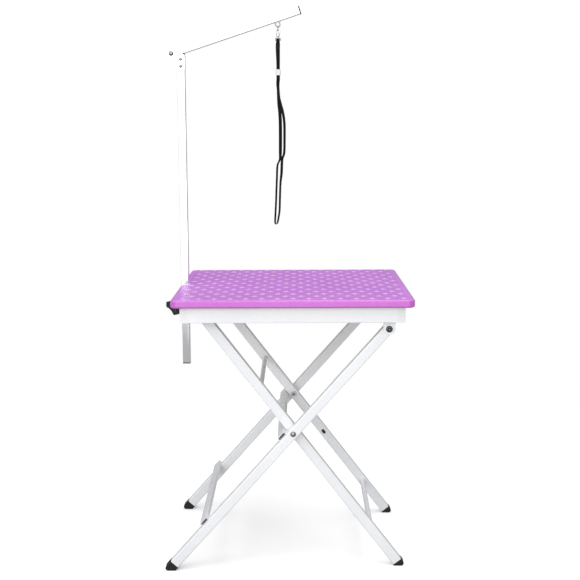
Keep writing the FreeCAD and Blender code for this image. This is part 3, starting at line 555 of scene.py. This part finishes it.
# ---- the mat ---------------------------------------------------------------
def build_stud_tree():
    """A staggered lattice of raised rings with a button in each, and fine pips between them."""
    tree, given, result = new_geometry_tree("mat studs", (
        ("Centre", "Vector"), ("Corner", "Vector"), ("Far Corner", "Vector"), ("Notch X", "Float"),
        ("Notch Half", "Float"), ("Pitch", "Float"), ("Row", "Float"), ("Ring Radius", "Float"),
        ("Stretch", "Float"), ("Rise", "Float"), ("Pip Radius", "Float"), ("Material", "Material"),
        ("Pip Painted Shade Material", "Material")))

    def lattice(columns, rows, share):
        """Points on a staggered grid about the centre, kept where the mat is."""
        pitch = maths(tree, "MULTIPLY", given.outputs["Pitch"], share)
        row = maths(tree, "MULTIPLY", given.outputs["Row"], share)
        grid = put(tree, "GeometryNodeMeshGrid", {
            "Vertices X": columns, "Vertices Y": rows,
            "Size X": maths(tree, "MULTIPLY", pitch, columns - 1.0),
            "Size Y": maths(tree, "MULTIPLY", row, rows - 1.0)})
        number = put(tree, "GeometryNodeInputIndex").outputs[0]
        odd = maths(tree, "MODULO", maths(tree, "MODULO", number, float(rows)), 2.0)
        half_pitch = maths(tree, "MULTIPLY", pitch, 0.5)
        shift = put(tree, "ShaderNodeCombineXYZ", {"X": maths(tree, "MULTIPLY", odd, half_pitch)})
        move = put(tree, "ShaderNodeVectorMath", {0: given.outputs["Centre"], 1: shift.outputs[0]},
                   operation="ADD")
        moved = put(tree, "GeometryNodeSetPosition", {"Geometry": grid.outputs[0], "Offset": move.outputs[0]})
        here = put(tree, "GeometryNodeInputPosition").outputs[0]
        place = put(tree, "ShaderNodeSeparateXYZ", {"Vector": here})
        low = put(tree, "ShaderNodeSeparateXYZ", {"Vector": given.outputs["Corner"]})
        high = put(tree, "ShaderNodeSeparateXYZ", {"Vector": given.outputs["Far Corner"]})
        past_the_post = maths(tree, "LESS_THAN", place.outputs["X"], given.outputs["Notch X"])
        beside_it = maths(tree, "LESS_THAN", maths(tree, "ABSOLUTE", place.outputs["Y"]),
                          given.outputs["Notch Half"])
        gone = maths(tree, "MULTIPLY", past_the_post, beside_it)
        for axis in ("X", "Y"):
            for operation, corner in (("LESS_THAN", low), ("GREATER_THAN", high)):
                outside = maths(tree, operation, place.outputs[axis], corner.outputs[axis])
                gone = maths(tree, "MAXIMUM", gone, outside)
        kept = put(tree, "GeometryNodeDeleteGeometry", {"Geometry": moved.outputs[0], "Selection": gone},
                   domain="POINT")
        return kept.outputs[0]

    ring_radius, rise = given.outputs["Ring Radius"], given.outputs["Rise"]
    pip_radius = given.outputs["Pip Radius"]
    wire = maths(tree, "MULTIPLY", ring_radius, 0.26)
    circle = put(tree, "GeometryNodeCurvePrimitiveCircle", {"Resolution": 14, "Radius": ring_radius},
                 mode="RADIUS")
    profile = put(tree, "GeometryNodeCurvePrimitiveCircle", {"Resolution": 6, "Radius": wire}, mode="RADIUS")
    ring = put(tree, "GeometryNodeCurveToMesh", {"Curve": circle.outputs[0],
                                                 "Profile Curve": profile.outputs[0]})
    button = put(tree, "GeometryNodeMeshUVSphere", {"Segments": 12, "Rings": 6,
                                                    "Radius": maths(tree, "MULTIPLY", ring_radius, 0.55)})
    web = put(tree, "GeometryNodeMeshCone", {
        "Vertices": 14, "Radius Top": ring_radius, "Radius Bottom": ring_radius,
        "Depth": maths(tree, "MULTIPLY", wire, 0.45)})
    both = put(tree, "GeometryNodeJoinGeometry")
    for part in (ring, button, web):
        tree.links.new(part.outputs[0], both.inputs[0])
    flatten = put(tree, "ShaderNodeCombineXYZ", {"X": 1.0, "Y": given.outputs["Stretch"],
                                                 "Z": maths(tree, "DIVIDE", rise, wire)})
    stud = put(tree, "GeometryNodeTransform", {"Geometry": both.outputs[0], "Scale": flatten.outputs[0]})
    spots = lattice(18, 18, 1.0)
    studs = put(tree, "GeometryNodeInstanceOnPoints", {"Points": spots, "Instance": stud.outputs[0]})
    pip = put(tree, "GeometryNodeMeshCone", {
        "Vertices": 6, "Radius Top": maths(tree, "MULTIPLY", pip_radius, 0.55), "Radius Bottom": pip_radius,
        "Depth": maths(tree, "MULTIPLY", rise, 0.7)})
    fine = lattice(55, 52, 1.0 / 3.0)
    gap = put(tree, "GeometryNodeProximity", {"Geometry": spots}, target_element="POINTS").outputs["Distance"]
    under = maths(tree, "LESS_THAN", gap, maths(tree, "MULTIPLY", ring_radius, 1.2))
    between = put(tree, "GeometryNodeDeleteGeometry", {"Geometry": fine, "Selection": under},
                  domain="POINT")
    pips = put(tree, "GeometryNodeInstanceOnPoints", {"Points": between.outputs[0], "Instance": pip.outputs[0]})
    everything = put(tree, "GeometryNodeJoinGeometry")
    # each set takes its own finish: the pips the one with painted shade, the studs the one with painted highlight
    for source, material in ((pips, "Pip Painted Shade Material"), (studs, "Material")):
        real = put(tree, "GeometryNodeRealizeInstances", {"Geometry": source.outputs[0]})
        smooth = put(tree, "GeometryNodeSetShadeSmooth", {"Geometry": real.outputs[0]})
        dressed = put(tree, "GeometryNodeSetMaterial", {"Geometry": smooth.outputs[0],
                                                        "Material": given.outputs[material]})
        tree.links.new(dressed.outputs[0], everything.inputs[0])
    plug_in(tree, result.inputs[0], everything.outputs[0])
    return tree


def build_mat():
    """The rubber mat: the slab itself, and the studs moulded on it."""
    low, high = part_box("board_mat")
    eased("board_mat", "purple_mat", 0.6)
    studs = show("mat_studs_painted_light", bpy.data.meshes.new("mat_studs_painted_light"), "mat_studs_painted_light")
    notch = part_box("post_sleeve")[1]
    edge = Vector((9.0, 9.0, 0.0)) * MM
    run_tree(studs, build_stud_tree(), {
        "Centre": Vector((BOARD_MIDDLE.x - 17.5 * MM, -12.9 * MM, high.z)),
        "Corner": low + edge, "Far Corner": high - edge,
        "Notch X": notch.x + 7 * MM, "Notch Half": notch.y + 7 * MM,
        "Pitch": 38.8 * MM, "Row": 34.3 * MM, "Ring Radius": 5.6 * MM, "Stretch": 1.4,
        # the studs take the finish with the painted highlight, the pips the finish with the painted shade
        "Rise": 0.9 * MM, "Pip Radius": 2.5 * MM, "Material": finishes["mat_studs_painted_light"],
        "Pip Painted Shade Material": finishes["mat_pips_painted_shade"]})
    hand_over(studs, "tabletop", "purple_mat")


# ---- the noose -------------------------------------------------------------
def rounded_path(stations, steps):
    """Points on a smooth closed curve through the stations; each station is a list of numbers."""
    count = len(stations)
    result = []
    for i in range(count):
        before, here, after, beyond = (stations[(i + k) % count] for k in (-1, 0, 1, 2))
        for step in range(steps):
            t = step / steps
            row = []
            for a, b, c, d in zip(before, here, after, beyond):
                row.append(0.5 * (2 * b + (c - a) * t + (2 * a - 5 * b + 4 * c - d) * t * t
                                  + (3 * b - a - 3 * c + d) * t * t * t))
            result.append(row)
    return result


def tape_loop(name, stations, thickness, steps=8):
    """A closed flat tape. A station is x, y, z, the turn of its face in degrees, and its width."""
    rows = rounded_path(stations, steps)
    count = len(rows)
    points, faces, lengths = [], [], [0.0]
    face = ((-0.5, -0.30), (-0.44, -0.5), (-0.2, -0.5), (0.0, -0.5), (0.2, -0.5), (0.44, -0.5), (0.5, -0.30))
    section = face + tuple((-u, -v) for u, v in face)
    around = len(section)
    for i, row in enumerate(rows):
        here = Vector(row[:3])
        way = (Vector(rows[(i + 1) % count][:3]) - Vector(rows[i - 1][:3])).normalized()
        turn = radians(row[3])
        across = Vector((cos(turn), sin(turn), 0.0))
        across = (across - way * across.dot(way)).normalized()
        out = across.cross(way)
        width = row[4]
        points += [here + across * (u * width) + out * (v * thickness) for u, v in section]
        step = (Vector(rows[(i + 1) % count][:3]) - here).length
        lengths.append(lengths[-1] + step)
    mesh = bpy.data.meshes.new(name)
    for i in range(count):
        a, b = i * around, ((i + 1) % count) * around
        faces += [(a + k, a + (k + 1) % around, b + (k + 1) % around, b + k) for k in range(around)]
    mesh.from_pydata(points, [], faces)
    layer = mesh.uv_layers.new(name="tape")
    for number, face in enumerate(mesh.polygons):
        i, k = divmod(number, around)
        spans = (section[k][0], section[(k + 1) % around][0])
        for corner, (u, v) in zip(face.loop_indices, ((spans[0], lengths[i]), (spans[1], lengths[i]),
                                                      (spans[1], lengths[i + 1]), (spans[0], lengths[i + 1]))):
            layer.data[corner].uv = (u + 0.5, v * 1000.0)
    face_outward(mesh)
    piece = show(name, mesh, "black_webbing")
    smooth_by_angle(mesh, 50)
    return piece


def build_noose():
    """One loop of tape: over the link, down as two plies through the lock, then open."""
    low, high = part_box("swivel_link")
    strap_low, strap_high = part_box("noose_strap")
    x = (low.x + high.x) / 2 / MM
    bar_z = strap_high.z / MM - 3.4
    turn = strap_high.y / MM - 1.0
    bottom = strap_low.z / MM
    front = (
        (x, -turn, bar_z, 0, 9), (x - 0.6, -turn * 0.75, bar_z - 6, 0, 9), (x - 1.5, -1.4, bar_z - 12, 0, 9),
        (x - 1.5, -1.3, bar_z - 24, 0, 9), (x - 0.4, -1.1, bar_z - 50, -6, 9), (x, -1.0, 1286, 0, 9),
        (x, -1.0, 1264, 0, 9), (x - 0.6, -1.3, 1256, 24, 8.8), (x - 1.6, -1.4, 1244, 40, 8.8),
        (x - 0.8, -1.3, 1230, 52, 8.8), (x + 0.4, -1.4, 1209, 36, 8.8), (x + 1.6, -1.8, 1191, 28, 9),
        (x + 3.6, -2.6, 1173, 24, 9), (x + 4.9, -3.0, 1146, 20, 9), (x + 5.0, -3.2, 1100, 24, 9),
        (x + 4.6, -3.0, 1068, 30, 9), (x + 4.0, -2.8, 1052, 48, 9), (x + 1.4, -3.4, 1044, 60, 9),
        (x - 3.0, -2.6, 1034, 62, 9), (x - 4.4, -2.0, 1018, 60, 9), (x - 4.8, -1.6, 1004, 60, 9),
        (x - 6.6, -1.0, 965, 61, 9), (x - 8.2, -0.4, 927, 62, 9),
        (x - 10.2, 0, 893, 62, 9), (x - 10.6, 0, 882, 66, 9), (x - 9.0, 0, bottom + 1.4, 72, 9))
    back = (
        (x - 4.6, 0, 879, 68, 9), (x - 2.0, 0, 890, 62, 9), (x + 1.4, 0.4, 912, 60, 9),
        (x + 2.6, 0.8, 945, 58, 9), (x + 4.2, 1.4, 984, 58, 9), (x + 7.2, 1.8, 1012, 46, 9),
        (x + 8.2, 2.2, 1036, 46, 9),
        (x + 9.6, 2.6, 1050, 50, 9), (x + 14.6, 2.8, 1066, 52, 9), (x + 15.6, 2.8, 1100, 50, 9),
        (x + 15.4, 2.6, 1144, 48, 9), (x + 11.4, 2.2, 1172, 44, 9), (x + 5.4, 1.8, 1194, 38, 9),
        (x + 1.6, 1.4, 1210, 40, 8.8), (x + 0.6, 1.3, 1230, 54, 8.8), (x - 0.4, 1.4, 1244, 42, 8.8),
        (x + 0.2, 1.3, 1256, 24, 8.8), (x, 1.0, 1264, 0, 9), (x, 1.0, 1286, 0, 9),
        (x + 0.2, 1.2, bar_z - 50, -6, 9), (x + 0.4, 1.3, bar_z - 24, 0, 9),
        (x + 0.6, 1.4, bar_z - 12, 0, 9), (x + 0.2, turn * 0.75, bar_z - 6, 2, 9),
        (x, turn, bar_z, 0, 9), (x, 0, bar_z + turn, 0, 9))
    stations = [(a * MM, b * MM, c * MM, d, e * MM) for a, b, c, d, e in front + back]
    noose = tape_loop("noose_webbing", stations, 1.6 * MM)
    hand_over(noose, "noose_strap", "black_webbing", "noose_strap")
    # a sewn box with a cross in it, on each ply
    half_box, top, foot = 3.3, bar_z - 12.0, bar_z - 23.0
    seams = []
    for face, middle in ((-2.15, x - 1.5), (2.15, x + 0.5)):
        left, right = middle - half_box, middle + half_box
        for z in (top, foot):
            seams.append([(left, face, z), (right, face, z)])
        for start, end in ((left, right), (right, left), (left, left), (right, right)):
            seams.append([(start, face, top), (end, face, foot)])
    seams = [[Vector(point) * MM for point in seam] for seam in seams]
    beads("noose_stitching", seams, "tape_stitching", "noose_strap", "black_webbing",
          STITCH, STITCH_SPACING, 3)


# ---- welds -----------------------------------------------------------------
def circle_path(centre, radius):
    """Points round a rod that runs along Y; the last point is the first again."""
    turns = [2 * pi * i / 32 for i in range(33)]
    return [centre + Vector((cos(turn), 0.0, sin(turn))) * radius for turn in turns]


def build_welds():
    """Painted weld beads where the rods, bars, sleeve and hinge brackets meet their tubes."""
    rings = []
    for node in ("inner_upper_rod", "inner_lower_rod", "inner_top_tube"):
        low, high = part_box(node)
        middle = (low + high) / 2
        radius = (high.x - low.x) / 2 + 0.3 * MM
        for y in (low.y + 0.4 * MM, high.y - 0.4 * MM):
            rings.append(circle_path(Vector((middle.x, y, middle.z)), radius))
    beads("inner_leg_welds", rings, "white_paint", "inner_legs", "white_paint", WELD, WELD_SPACING, 5)

    joints = {joint["name"]: Vector(joint["pos_m"]) for joint in frame["joints"] if "pos_m" in joint}
    along = (joints["inner_legs_fold"] - joints["legs_fold"]).normalized()
    up = Vector((along.z, 0.0, -along.x))
    leg_low, leg_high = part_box("outer_leg_back")
    clear = 2 * MM
    seams = []
    for node in ("outer_mid_bar", "outer_lower_bar"):
        low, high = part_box(node)
        middle = Vector(((low.x + high.x) / 2, 0.0, (low.z + high.z) / 2))
        for side in (-1, 1):
            foot = middle + along * (side * 12.7 * MM) - up * (4.7 * MM)
            for way in (-1, 1):
                across = (leg_low.y + clear, leg_high.y - clear)
                seams.append([Vector((foot.x, way * y, foot.z)) for y in across])
    beads("outer_leg_welds", seams, "white_paint", "outer_legs", "white_paint", WELD, WELD_SPACING, 6)

    rail_low, rail_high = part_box("apron_left_rail")
    right_rail_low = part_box("apron_right_rail")[0]
    front_rail_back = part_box("apron_front_rail")[1].y
    sleeve_low, sleeve_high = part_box("post_sleeve")
    rail_span = (rail_low.z + clear, rail_high.z - clear)
    seams = []
    for y in (sleeve_low.y - 0.3 * MM, sleeve_high.y + 0.3 * MM):
        seams.append([Vector((rail_low.x - 0.4 * MM, y, z)) for z in rail_span])
    for name in ("hinge_bracket_front", "hinge_bracket_back"):
        low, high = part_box(name)
        face = low.y if low.y < 0.0 else high.y
        for x in (low.x - 0.3 * MM, high.x + 0.3 * MM):
            seams.append([Vector((x, face, z)) for z in (rail_low.z + 3 * MM, rail_high.z - 3 * MM)])
    for x in (rail_high.x, right_rail_low.x):
        for y in (front_rail_back, -front_rail_back):
            seams.append([Vector((x, y, z)) for z in rail_span])
    beads("frame_welds", seams, "white_paint", "tabletop", "white_paint", WELD, WELD_SPACING, 7)


# ---- rivet heads -----------------------------------------------------------
def build_rivet_heads():
    """A rolled-over head on each hinge pin, in a near-black steel that paints the shade on it; the CAD's pins end
    flush with their brackets.
    """
    low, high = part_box("hinge_pins")
    middle = (low + high) / 2
    # radius, and height off the bracket: over the rim, then down into the hollow
    profile = ((8.5, 0.0), (8.3, 1.5), (7.3, 3.1), (6.0, 4.0), (5.0, 4.1), (4.2, 3.4), (3.6, 2.2), (2.4, 1.6))
    sides = 40
    for name, face, way in (("front", low.y, -1), ("back", high.y, 1)):
        points, faces = [], []
        for radius, height in profile:
            for i in range(sides):
                turn = 2 * pi * i / sides
                points.append((middle.x + cos(turn) * radius * MM, face + way * height * MM,
                               middle.z + sin(turn) * radius * MM))
        for row in range(len(profile) - 1):
            for i in range(sides):
                a, b = row * sides + i, row * sides + (i + 1) % sides
                faces.append((a, b, b + sides, a + sides))
        last = (len(profile) - 1) * sides
        faces += [tuple(range(last, last + sides)), tuple(range(sides))]
        mesh = bpy.data.meshes.new("hinge_rivet_head_" + name)
        mesh.from_pydata(points, [], faces)
        face_outward(mesh)
        head = show(mesh.name, mesh, "rivet_painted_shade_steel")
        smooth_by_angle(mesh, 40)
        hand_over(head, node_bodies["hinge_pins"], "zinc_steel")


# ---- the room --------------------------------------------------------------
def build_floor():
    """A pale round floor; it throws back less light than it shows, so that undersides stay shaded."""
    mesh = bpy.data.meshes.new("floor")
    sides = 96
    turns = [2 * pi * i / sides for i in range(sides)]
    rim = [(FLOOR_RADIUS * cos(turn), FLOOR_RADIUS * sin(turn), 0.0) for turn in turns]
    mesh.from_pydata(rim, [], [tuple(range(sides))])
    finish, tree, shader = new_finish("pale_floor", {"Specular IOR Level": 0.1})
    tone = use(tree, TONE, {"Dark": (0.93, 0.93, 0.93, 1.0), "Light": (0.96, 0.96, 0.96, 1.0), "Scale": 1.2})
    gloss = use(tree, GLOSS, {"Polished": 0.6, "Dull": 0.8})
    shader.inputs["Emission Color"].default_value = (1.0, 1.0, 1.0, 1.0)
    shader.inputs["Emission Strength"].default_value = FLOOR_GLOW
    shade = put(tree, "ShaderNodeBsdfDiffuse", {"Color": (0.34, 0.34, 0.35, 1.0)})
    path = put(tree, "ShaderNodeLightPath")
    mix = put(tree, "ShaderNodeMixShader", {0: path.outputs["Is Camera Ray"], 1: shade.outputs[0],
                                            2: shader.outputs[0]})
    plug_in(tree, tree.nodes["Material Output"].inputs["Surface"], mix.outputs[0])
    plug_in(tree, shader.inputs["Base Color"], tone.outputs["Color"])
    plug_in(tree, shader.inputs["Roughness"], gloss.outputs["Roughness"])
    finishes["pale_floor"] = finish
    floor = show("floor", mesh, "pale_floor")


# ---- the making ------------------------------------------------------------
set_camera()

for slot, width, nodes in eased_parts:
    for node in nodes:
        eased(node, slot, width)
# the hinge pins take the near-black steel with painted shade
eased("hinge_pins", "zinc_steel", 0.25, "rivet_painted_shade_steel")
eased("noose_lock", "polished_steel", 0.25, "lock_steel")
build_rivet_heads()
build_welds()
build_mat()
build_noose()

for node in frame["nodes"].values():
    for place in node.material_slots:
        place.material = finishes[place.material.name]
frame["nodes"]["arm_tube"].material_slots[0].material = finishes["arm_steel"]
for finish, nodes in (("bolt_steel", ("crossing_bolts", "arm_pivot_bolt", "plate_rivets", "clamp_screw")),
                      ("lock_steel", ("noose_eye", "noose_ring", "swivel_link"))):
    for node in nodes:
        frame["nodes"][node].material_slots[0].material = finishes[finish]

set_world(ROOM_GLOW)
for softbox in SOFTBOXES:
    add_softbox(*softbox)
build_floor()
bpy.context.scene.view_settings.view_transform = "Standard"
